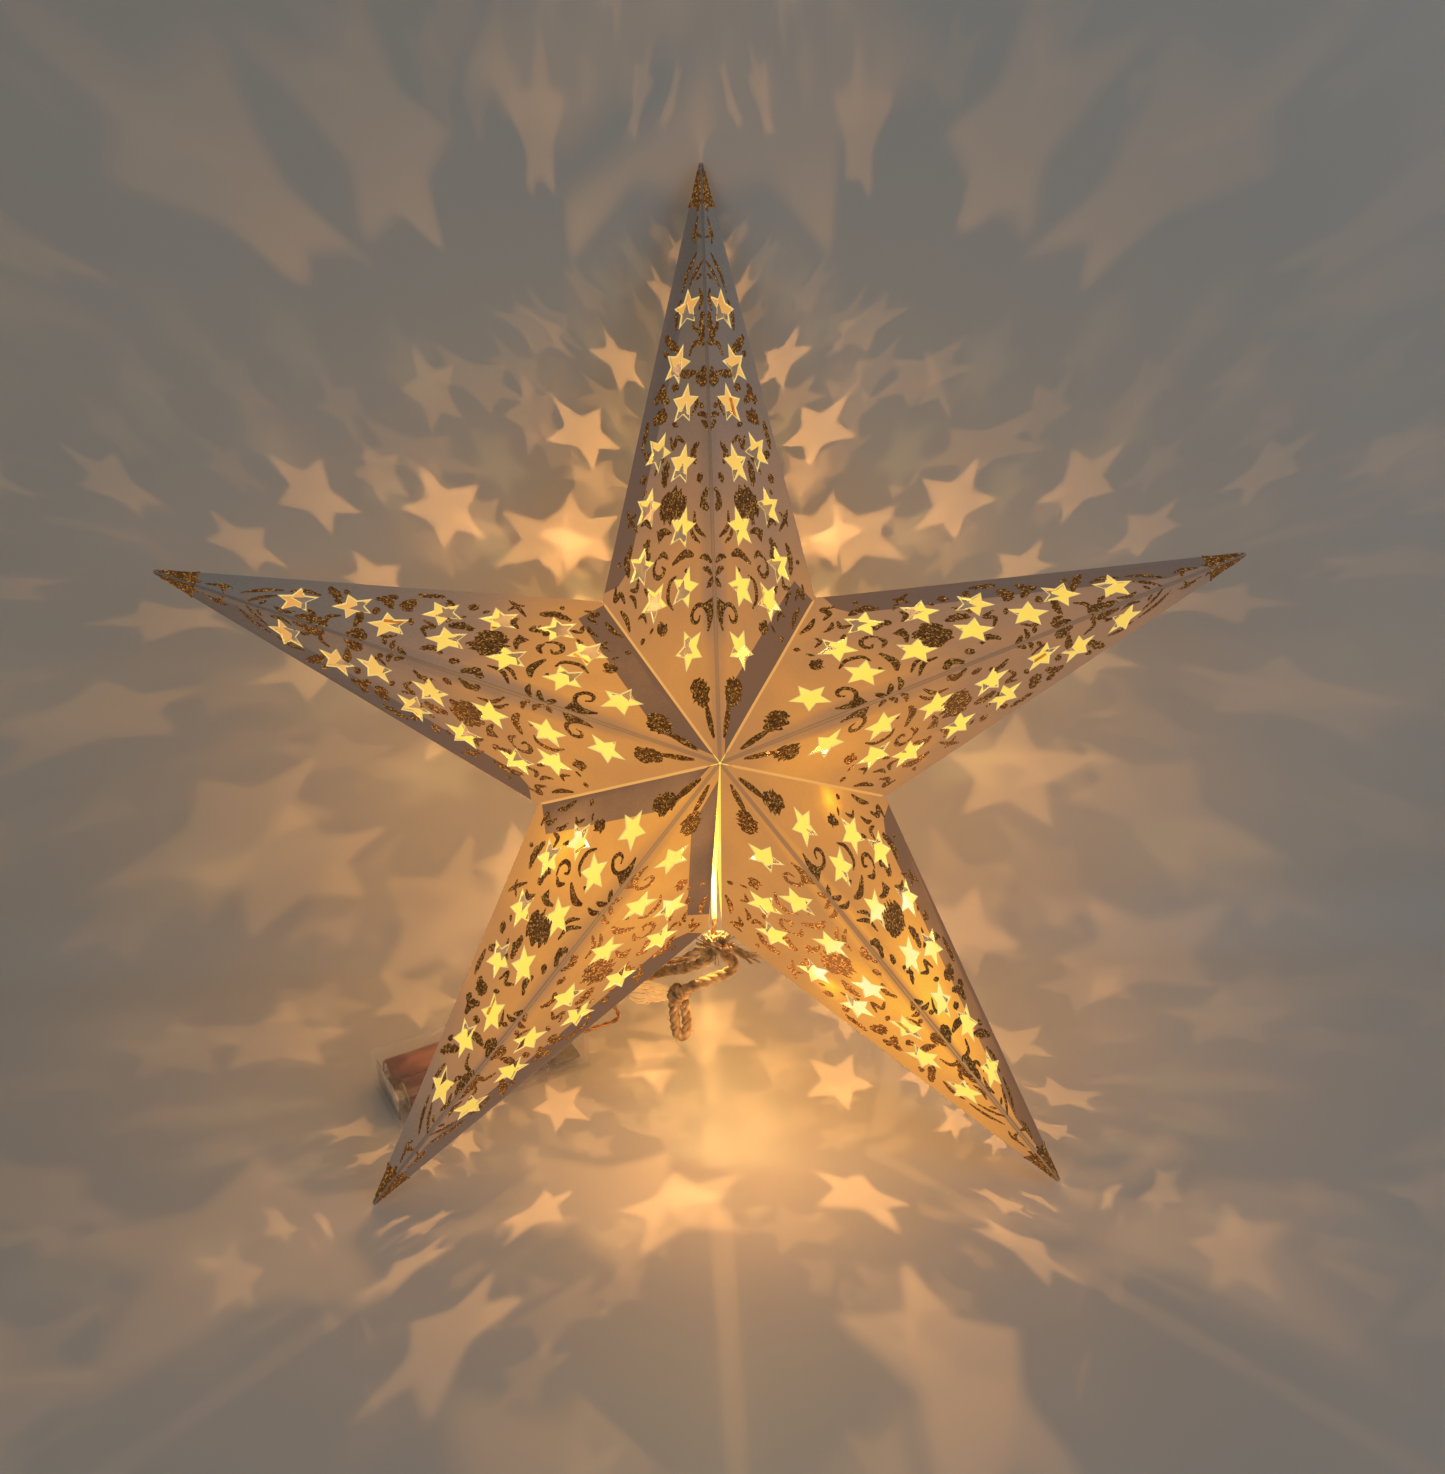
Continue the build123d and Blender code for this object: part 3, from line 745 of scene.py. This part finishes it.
def make_card(panel):
    spots, triangles = card_layout(panel)
    built = bmesh.new()
    glow_layer = built.verts.layers.float.new("glow")
    outer = [built.verts.new(panel.place(spot, CARD)) for spot in spots]
    inner = [built.verts.new(panel.place(spot, 0.0)) for spot in spots]
    for verts in (outer, inner):
        for vert, spot in zip(verts, spots):
            vert[glow_layer] = glow_at(spot, panel.arm, panel.side, panel.face)
    for triangle, kind in triangles:
        built.faces.new([outer[corner] for corner in triangle]).material_index = kind
        built.faces.new([inner[corner] for corner in triangle[::-1]]).material_index = INNER_FACE
    edges = {}
    for triangle, _ in triangles:
        for first, second in zip(triangle, triangle[1:] + triangle[:1]):
            edges.setdefault(frozenset((first, second)), []).append((first, second))
    for (first, second), in [uses for uses in edges.values() if len(uses) == 1]:
        face = built.faces.new((outer[second], outer[first], inner[first], inner[second]))
        middle = (spots[first] + spots[second]) / 2
        # Side faces at the folds take the painted crease shade; those round the holes take the painted glow
        # of the cut edge.
        face.material_index = CREASE_SHADE_FACE if min(edge_distances(middle)) < 0.5 else RIM_FACE
    loose = [vert for vert in built.verts if not vert.link_faces]
    bmesh.ops.delete(built, geom=loose, context="VERTS")
    bmesh.ops.recalc_face_normals(built, faces=built.faces)
    name = f"{panel.arm}_{panel.face}_{panel.side}_card"
    piece = new_piece(name, built, panel.body, [card, tab_shaded_card, card_inside, cut_edge, crease_shade])
    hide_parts(f"{panel.arm}_arm_{panel.face}_{panel.side}_panel")


# The glitter print: strokes drawn in a panel, along the ridge and out from it, then width and kind.
# A "leaf" is full in the middle with a ragged edge, a "drop" is thick at its end and a "drop_back" at
# its start; one with no kind is a "line", which tapers at both ends.
STROKES = [
    ([(152.6, 0.9), (158, 1), (166, 0.3)], 2.6, "drop_back"), ([(144, 0.4), (147, 2.9), (151, 1.6)], 0.8),
    ([(143.5, 3.2), (146.5, 3.6), (149, 2.4)], 0.7), ([(137, 0.2), (135, 3.4), (131.6, 6.4)], 0.9),
    ([(131.5, 9.2), (136.6, 6.4), (140.6, 2.6)], 0.9),
    ([(112.6, 0.5), (117, 1.2), (122.4, 0.5)], 2.4, "leaf"), ([(113.5, 1.5), (114.6, 4.6), (112, 6.8)], 1),
    ([(117, 2.4), (119.6, 4.5), (123, 4.2)], 0.8), ([(101.2, 0.5), (103.6, 1.9), (106.6, 0.5)], 2, "leaf"),
    ([(102, 2.4), (104, 3.8), (106.4, 3.3)], 0.8), ([(88, 0.2), (90.4, 1.2), (91.8, 2.6)], 0.9),
    ([(91.6, 0.2), (93.4, 2), (94.2, 4.4)], 0.9), ([(95.2, 1.6), (97, 3.6)], 0.9),
    ([(106.2, 4.2), (107.2, 8), (109.6, 12.4)], 1.5),
    ([(115, 11), (118.4, 14.2), (122, 16.6)], 1.5, "leaf"), ([(114.6, 14.8), (117.6, 17.4)], 1.2),
    ([(121.6, 12), (126.4, 11.6), (129.8, 9.6)], 1),
    ([(97.6, 17), (99.4, 19.6), (98.4, 22.6)], 2.3, "leaf"),
    ([(102, 15.8), (105.4, 18.6), (108.4, 18)], 1.6, "leaf"), ([(103.4, 21.2), (106.2, 20.4)], 1.5, "leaf"),
    ([(88, 9.6), (90.6, 12.6), (88.4, 14.4), (92.2, 15.6)], 1), ([(93.8, 12.2), (95.6, 14.6)], 0.9),
    ([(78.6, 18.4), (82.6, 18.2), (85.4, 16.6)], 1.7, "leaf"),
    ([(69.8, 10.4), (72.2, 15), (74.4, 20.4)], 5.4, "leaf"), ([(76, 2.8), (76.6, 5.2)], 1.6, "leaf"),
    ([(79.4, 26.8), (80.4, 27.4)], 1.2, "leaf"), ([(82.6, 26.8), (85, 28)], 1.8, "leaf"),
    ([(87.6, 24.4), (91, 26.6), (89.8, 23.8)], 0.9), ([(69.6, 30.4), (74, 33.4), (77.2, 34.8)], 0.9),
    ([(72.2, 34.6), (74, 33.4), (75.2, 30.6)], 0.8), ([(59.4, 2.4), (63.6, 6.2), (68, 6.6)], 0.9),
    ([(58.6, 4.8), (61.8, 7.6), (64.8, 8.2)], 0.8), ([(56, 7.4), (57.6, 11), (56.2, 16.2)], 1.5),
    ([(58.2, 17.8), (60.2, 19.8), (59.6, 22)], 1), ([(64.8, 16.2), (66.2, 19), (65.6, 22)], 2.4, "drop"),
    ([(57, 20.6), (55.6, 19.4), (54.2, 21.2), (55.2, 23.4), (57.6, 23.8), (59.8, 22.4)], 0.9),
    ([(60.6, 25.4), (63.4, 27.4), (66.2, 25.6)], 1.8, "leaf"),
    ([(58.2, 34.8), (63, 35.2), (67, 33.2)], 1.5, "leaf"), ([(48.6, 0.4), (50.6, 2), (51.6, 3.8)], 1),
    ([(52, 0.4), (54.2, 2.6), (54.8, 5)], 1), ([(46.2, 0.4), (47.6, 1.7)], 1.8, "leaf"),
    ([(39.4, 5.4), (37.9, 6.4), (38.4, 8.2), (40.6, 8.6), (42.2, 6.6), (41.6, 4.2), (39, 2.6),
      (36, 2.4)], 0.85),
    ([(34.4, 2.6), (38, 1.5), (42.4, 2.3)], 2.3, "drop"),
    ([(43.8, 16.2), (47.2, 18.2), (51.4, 17.4), (52.6, 14.6)], 0.9),
    ([(38.2, 19.4), (40.2, 21), (41.2, 20.2)], 2.3, "leaf"), ([(40.2, 25), (40.9, 25.6)], 1.3, "leaf"),
    ([(38, 28.8), (39.4, 29.6)], 1.1, "leaf"), ([(43.2, 27.4), (45.8, 28.8), (45.4, 31)], 0.8),
    ([(48.6, 31.8), (51.4, 32.6), (53, 34.6)], 0.9),
    ([(51.4, 36.6), (54.4, 38.4), (53.6, 41), (57.2, 40.4)], 1.2), ([(52.6, 9), (53, 11.2)], 0.8),
    ([(6.6, 1.5), (11.4, 3), (16.6, 4.4)], 1.3), ([(80.6, 5.2), (84.2, 6.4), (86.4, 4)], 1.3, "leaf"),
    ([(94.6, 6.6), (97.2, 4.4), (100, 5.2)], 0.9), ([(66.4, 1.2), (69.6, 3), (72.6, 1)], 1.5, "leaf"),
    ([(83.4, 22.6), (86.2, 20.4), (86.6, 17.8)], 1),
    ([(92.6, 27.6), (96.4, 26.2), (99.8, 24.8)], 1.2, "leaf"), ([(104.4, 11.4), (106, 14.4)], 1.2, "leaf"),
    ([(49.4, 22), (50.6, 26), (53.2, 28.2)], 1), ([(42.8, 34.6), (46.6, 36), (49.8, 38.6)], 1.1),
    ([(56.6, 30.6), (53.8, 31.4), (54.4, 34.2)], 1), ([(68.8, 24.6), (71.4, 26.6), (71, 29)], 1.1),
    ([(123.2, 2.4), (126, 1.2), (129.6, 1.8)], 0.9), ([(132.8, 3), (133.4, 0.8)], 0.8),
    ([(15.6, 4.2), (19.4, 6.2), (22.4, 9.4)], 3.4, "leaf"), ([(20, 4.2), (21.4, 6.4)], 1.6, "leaf"),
    ([(62.6, 37.84), (63.4, 39.6)], 0.9),
]
WIDTHS = {
    "line": lambda share: 0.35 + 0.65 * math.sin(math.pi * min(1, max(0, share))),
    "leaf": lambda share: 0.12 + 0.88 * math.sin(math.pi * (0.06 + 0.88 * share)) ** 0.7,
    "drop": lambda share: 0.2 + 0.8 * share ** 1.2,
    "drop_back": lambda share: 1.0 - 0.85 * share,
}

STROKE_SCALE = {"line": 1.6, "leaf": 1.75, "drop": 1.6, "drop_back": 1.0}
TIP_CAP_START, TIP_CAP_END = 153.5, 164.6
PRINT_LIFT, PRINT_THICKNESS, PRINT_PIECE = 0.035, 0.05, 1.2
HOLE_CLEARANCE = [star_outline(hole, RIM + 0.1) for hole in HOLES]


def printed(spot):
    """Whether the print can lie here: on the card and clear of its holes."""
    if min(edge_distances(spot)) < 0.35 and spot.x < ridge_length - 14:
        return False
    return not any(inside(spot, outline) for outline in HOLE_CLEARANCE)


def make_print(panel):
    """The glitter strokes of one panel, a thin layer on its card."""
    draw = random.Random(int(panel.seed * 10) + 400)
    built = bmesh.new()

    def lay(corners):
        built.faces.new([built.verts.new(panel.place(spot, CARD + PRINT_LIFT)) for spot in corners])

    for points, width, *kinds in STROKES:
        kind = kinds[0] if kinds else "line"
        path = smooth_path([Vector(point) for point in points], 7)
        rows = []
        for place, point in enumerate(path):
            share = place / (len(path) - 1)
            ahead = (path[min(place + 1, len(path) - 1)] - path[max(place - 1, 0)]).normalized()
            sideways = Vector((-ahead.y, ahead.x))
            ragged = 0.3 if kind == "leaf" else 0.06
            half = 0.5 * STROKE_SCALE[kind] * width * WIDTHS[kind](share)
            low = half * (1 + draw.uniform(-ragged, ragged))
            high = half * (1 + draw.uniform(-ragged, ragged))
            rows.append([point - sideways * low, point + sideways * high])
        for (a, b), (c, d) in zip(rows, rows[1:]):
            columns = max(1, round((a - b).length / PRINT_PIECE))
            for step in range(columns):
                corners = [a.lerp(b, step / columns), a.lerp(b, (step + 1) / columns),
                           c.lerp(d, (step + 1) / columns), c.lerp(d, step / columns)]
                if printed(sum(corners, Vector((0, 0))) / 4):
                    lay(corners)
    tip_rows = []
    for along in (TIP_CAP_START, TIP_CAP_START + 4, TIP_CAP_START + 8, TIP_CAP_END):
        widest = max(0.12, -outer_inward.dot(Vector((along, 0)) - Vector((ridge_length, 0))) / outer_inward.y)
        tip_rows.append([Vector((along, 0.04)), Vector((along, widest * 0.94))])
    tip_rows[0][1].x += 2.2
    for (a, b), (c, d) in zip(tip_rows, tip_rows[1:]):
        lay((a, b, d, c))
    bmesh.ops.remove_doubles(built, verts=built.verts, dist=0.0004 * MM)
    grown = bmesh.ops.extrude_face_region(built, geom=built.faces[:])
    lift = panel.z * PRINT_THICKNESS * MM
    for item in grown["geom"]:
        if isinstance(item, bmesh.types.BMVert):
            item.co += lift
    bmesh.ops.recalc_face_normals(built, faces=built.faces)
    name = f"{panel.arm}_{panel.face}_{panel.side}_print"
    new_piece(name, built, panel.body, [glitter])


FIN_STEPS, FIN_HEIGHT, FIN_LEAN = 24, 1.05, 0.10
FIN_SECTION = [(-0.36, 0.0), (-0.30, 0.85), (0.0, 1.0), (0.30, 0.85), (0.36, 0.0)]


def make_fin(panel, neighbour):
    """The raised fold where this panel's card meets the next arm's, along their seam."""
    if (panel.arm, neighbour.arm) == ("lower_right", "lower_left"):
        return
    bisector = (panel.z + neighbour.z).normalized()
    along = (panel.x * seam_along.x + panel.y * seam_along.y).normalized()
    side = along.cross(bisector)
    built = bmesh.new()
    glow_layer = built.verts.layers.float.new("glow")
    rows = []
    for step in range(FIN_STEPS + 1):
        share = step / FIN_STEPS
        reach = 3.2 + (seam_length - 4.0) * share
        middle = panel.peak + along * reach
        ends = min(1.0, 14 * share + 0.2, 14 * (1 - share) + 0.2)
        high = FIN_HEIGHT * ends
        lean = FIN_LEAN * noise.noise(Vector((reach / 9, panel.seed, 0)))
        glow = glow_at(from_seam(reach, 0), panel.arm, "right", panel.face)
        ring = []
        for across, up in FIN_SECTION:
            place = middle + side * (across + lean * up) + bisector * (0.1 + high * up)
            vert = built.verts.new(place * MM)
            # Painted highlight and shade: the fin's top glows brighter than its foot.
            vert[glow_layer] = glow * (0.85 if up < 0.5 else 1.15)
            ring.append(vert)
        rows.append(ring)
    for first, second in zip(rows, rows[1:]):
        for step in range(4):
            built.faces.new((first[step], first[step + 1], second[step + 1], second[step]))
        built.faces.new((first[4], first[0], second[0], second[4]))
    for ring in (rows[0], rows[-1]):
        built.faces.new(ring)
    bmesh.ops.recalc_face_normals(built, faces=built.faces)
    new_piece(f"{panel.arm}_{panel.face}_seam_fin", built, panel.body, [fin_card])


def make_star():
    clockwise = ["top", "right", "lower_right", "lower_left", "left"]
    for arm in ARMS:
        for face in FACES:
            for side in SIDES:
                panel = Panel(arm, side, face)
                make_card(panel)
                make_print(panel)
            after = clockwise[(clockwise.index(arm) + 1) % 5]
            make_fin(Panel(arm, "right", face), Panel(after, "left", face))


make_star()


# ---- battery box
BOX_LENGTH, BOX_DEPTH, BOX_HEIGHT, BOX_WALL = 62.0, 25.0, 13.5, 1.2
BOX_CORNER, BOX_TURN = (-38, -64), math.radians(26.3)
BAY_LENGTH, CELL_DIAMETER, CELL_LENGTH, NUB_LENGTH, CONTACT = 50.5, 10.5, 43.5, 1.0, 0.4
box_place = Matrix.Translation((BOX_CORNER[0], BOX_CORNER[1], floor_z)) @ Matrix.Rotation(BOX_TURN, 4, "Z")
PLATE_INSET, PLATE_LOW, PLATE_HIGH, PLATE_GAP = 3.0, 2.0, 11.0, 1.2
SPRING_LENGTH, SPRING_TURNS, SPRING_STEPS = 2.6, 4, 22
LATHE_STEPS = 32
cell_z = BOX_WALL + 0.3 + CELL_DIAMETER / 2
cell_start = -BOX_LENGTH + BOX_WALL + 2 * CONTACT
cell_rows = [BOX_DEPTH / 2 - CELL_DIAMETER / 2 - 0.2, BOX_DEPTH / 2 + CELL_DIAMETER / 2 + 0.2]


def lathe(built, start, row, direction, profile, material):
    """A turned shape along the cells' axis from a profile of (distance, radius)."""
    rings = []
    for distance, radius in profile:
        ring = []
        for step in range(LATHE_STEPS):
            turn = 2 * math.pi * step / LATHE_STEPS
            local = Vector((start + direction * distance, row + radius * math.cos(turn),
                            cell_z + radius * math.sin(turn)))
            ring.append(built.verts.new((box_place @ local) * MM))
        rings.append(ring)
    for first, second in zip(rings, rings[1:]):
        for step in range(LATHE_STEPS):
            face = built.faces.new((first[step], first[step - 1], second[step - 1], second[step]))
            face.material_index = material
    for ring in (rings[0], rings[-1]):
        built.faces.new(ring).material_index = material


def make_cells():
    built = bmesh.new()
    radius = CELL_DIAMETER / 2
    for row, direction in zip(cell_rows, (1, -1)):
        flat_end = cell_start + SPRING_LENGTH if direction > 0 else cell_start + NUB_LENGTH + CELL_LENGTH
        sleeve = [(0.25, radius - 0.8), (0.1, radius - 0.35), (0.45, radius), (CELL_LENGTH - 0.5, radius),
                  (CELL_LENGTH - 0.1, radius - 0.3), (CELL_LENGTH - 0.25, radius - 0.9)]
        lathe(built, flat_end, row, direction, sleeve, 0)
        lathe(built, flat_end, row, direction, [(0.12, 0.5), (0.12, radius - 0.9), (0.4, radius - 0.75)], 1)
        cap = [(CELL_LENGTH - 0.5, radius - 0.9), (CELL_LENGTH - 0.22, radius - 1.1),
               (CELL_LENGTH - 0.22, 2.2), (CELL_LENGTH + 0.7, 1.9), (CELL_LENGTH + NUB_LENGTH - 0.02, 1.6),
               (CELL_LENGTH + NUB_LENGTH, 0.6)]
        lathe(built, flat_end, row, direction, cap, 1)
    bmesh.ops.recalc_face_normals(built, faces=built.faces)
    cells = new_piece("aaa_cells", built, LEAD_BODY, [red_sleeve, contact_metal], True)
    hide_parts("battery_cells")


def make_contacts():
    built = bmesh.new()
    bay_end = BAY_LENGTH - BOX_LENGTH
    right = bay_end - BOX_WALL
    left = -BOX_LENGTH + BOX_WALL
    front, back, middle = PLATE_INSET, BOX_DEPTH - PLATE_INSET, BOX_DEPTH / 2
    plates = [(left, left + CONTACT, front, back),
              (right - CONTACT, right, front, middle - PLATE_GAP / 2),
              (right - CONTACT, right, middle + PLATE_GAP / 2, back)]
    for x_min, x_max, y_min, y_max in plates:
        made = bmesh.ops.create_cube(built, size=1)["verts"]
        for vert in made:
            local = Vector((x_min if vert.co.x < 0 else x_max, y_min if vert.co.y < 0 else y_max,
                            PLATE_LOW if vert.co.z < 0 else PLATE_HIGH))
            vert.co = (box_place @ local) * MM
    bmesh.ops.bevel(built, geom=built.edges[:], offset=0.12 * MM, segments=2, affect="EDGES")
    spans = [(left + CONTACT, cell_start + SPRING_LENGTH, cell_rows[0]),
             (cell_start + NUB_LENGTH + CELL_LENGTH, right - CONTACT, cell_rows[1])]
    for start, end, row in spans:
        route = []
        for step in range(SPRING_TURNS * SPRING_STEPS + 1):
            share = step / (SPRING_TURNS * SPRING_STEPS)
            turn = 2 * math.pi * SPRING_TURNS * share
            radius = 2.65 - 0.5 * share
            local = Vector((start + 0.25 + (end - start - 0.5) * share, row + radius * math.cos(turn),
                            cell_z + radius * math.sin(turn)))
            route.append((box_place @ local) * MM)
        sweep(built, route, lambda share: 0.22 * MM)
    bmesh.ops.recalc_face_normals(built, faces=built.faces)
    contacts = new_piece("contact_springs", built, LEAD_BODY, [contact_metal], True)
    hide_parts("battery_contacts")


make_cells()
make_contacts()


# ---- CAD parts that stay
def finish_node(name, finish):
    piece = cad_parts[name]
    piece.data.materials.clear()
    piece.data.materials.append(finish)


for arm in ARMS:
    finish_node(f"{arm}_arm_outer_tab", tab_card)
    finish_node(f"{arm}_arm_light_wire", copper)
    finish_node(f"{arm}_arm_light_beads", bead_light)
for name in [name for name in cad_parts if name.endswith(("_seam_tab", "_slit_tab"))]:
    finish_node(name, tab_card)
for name, finish in (("inner_lead", lit_copper), ("centre_light_beads", bead_light),
                     ("battery_box_base", clear_plastic), ("battery_box_lid", clear_plastic),
                     ("switch_knob", black_plastic), ("switch_board", circuit_board)):
    finish_node(name, finish)


# ---- stage and light
def stage_material():
    made = blank("pale_sweep")
    mottle = noise_at(made, 4, 2)
    colour = ramp(made, mottle, (0.3, (0.71, 0.67, 0.60)), (0.7, (0.77, 0.73, 0.66)))
    surface = add(made, "BsdfPrincipled", Base_Color=colour, Roughness=0.9)
    return close(made, surface.outputs[0])


def make_stage():
    """A floor that turns up into a wall just behind the star's top point, in metres."""
    wall_y, reach, high, bend, bend_steps = 0.0015, 1.6, 1.5, 0.02, 6
    floor = floor_z * MM
    profile = [(-reach, floor), (wall_y - bend, floor)]
    for step in range(1, bend_steps + 1):
        turn = math.pi / 2 * step / bend_steps
        profile.append((wall_y - bend + bend * math.sin(turn), floor + bend - bend * math.cos(turn)))
    profile.append((wall_y, floor + high))
    built = bmesh.new()
    rows = [[built.verts.new((side * reach, y, z)) for side in (-1, 1)] for y, z in profile]
    for first, second in zip(rows, rows[1:]):
        built.faces.new((first[0], first[1], second[1], second[0]))
    mesh_object("stage_sweep", built, [stage_material()], True)


def make_light(name, kind, place, energy, colour, size, aim=None):
    data = bpy.data.lights.new(name, kind)
    data.energy = energy
    data.color = colour
    if kind == "AREA":
        data.size = size
    else:
        data.shadow_soft_size = size
    light = bpy.data.objects.new(name, data)
    bpy.context.collection.objects.link(light)
    light.location = place
    light.visible_camera = False
    if aim is not None:
        light.rotation_euler = (Vector(aim) - Vector(place)).to_track_quat("-Z", "Y").to_euler()


WARM = (1.0, 0.47, 0.14)
# Soft light that leaks from the star: across, up and behind its centre, and energy
LEAKED_LIGHT = {"leak_low": (10, -86, -6, 0.06), "leak_back": (0, 10, 64, 0.035),
                "leak_left": (-92, -36, 30, 0.022), "leak_right": (96, -40, 30, 0.022)}
# The lights that throw the star holes onto the wall: how far along the arm, and energy
BULB_BEHIND, BULB_RADIUS = -12, 0.0004
ARM_BULBS = {"top": (42, 0.16), "right": (46, 0.13), "lower_right": (62, 0.16), "lower_left": (52, 0.16),
             "left": (46, 0.16)}


def make_lights():
    centre = star_centre * MM
    make_light("key", "AREA", (-0.5, -0.9, 0.45), 1.0, (1.0, 0.95, 0.88), 0.7, centre)
    make_light("fill", "AREA", (0.7, -0.7, 0.3), 0.7, (0.80, 0.90, 1.0), 0.7, centre)
    make_light("cool_side", "AREA", (0.45, -0.35, 0.35), 0.22, (0.45, 0.65, 1.0), 0.3, (0.3, 0, 0.05))
    for name, (across, up, behind, energy) in LEAKED_LIGHT.items():
        make_light(name, "POINT", star_point(across, up, behind) * MM, energy, WARM, 0.025)
    for arm, (reach, energy) in ARM_BULBS.items():
        turn = 2 * HALF_ANGLE * ARMS[arm]
        place = star_point(reach * math.sin(turn), reach * math.cos(turn), BULB_BEHIND)
        make_light(f"{arm}_bulb", "POINT", place * MM, energy, WARM, BULB_RADIUS)
    make_light("centre_bulb", "POINT", star_point(0, 5, 0) * MM, 0.05, WARM, 0.002)
    make_light("slit_bulb", "POINT", star_point(0, -40, -2) * MM, 0.10, (1.0, 0.66, 0.2), 0.002)
    world = bpy.data.worlds.new("studio")
    world.use_nodes = True
    background = world.node_tree.nodes["Background"]
    background.inputs["Color"].default_value = (0.88, 0.95, 1.0, 1)
    background.inputs["Strength"].default_value = 0.09
    bpy.context.scene.world = world


make_stage()
make_lights()
bpy.context.scene.view_settings.view_transform = "Standard"
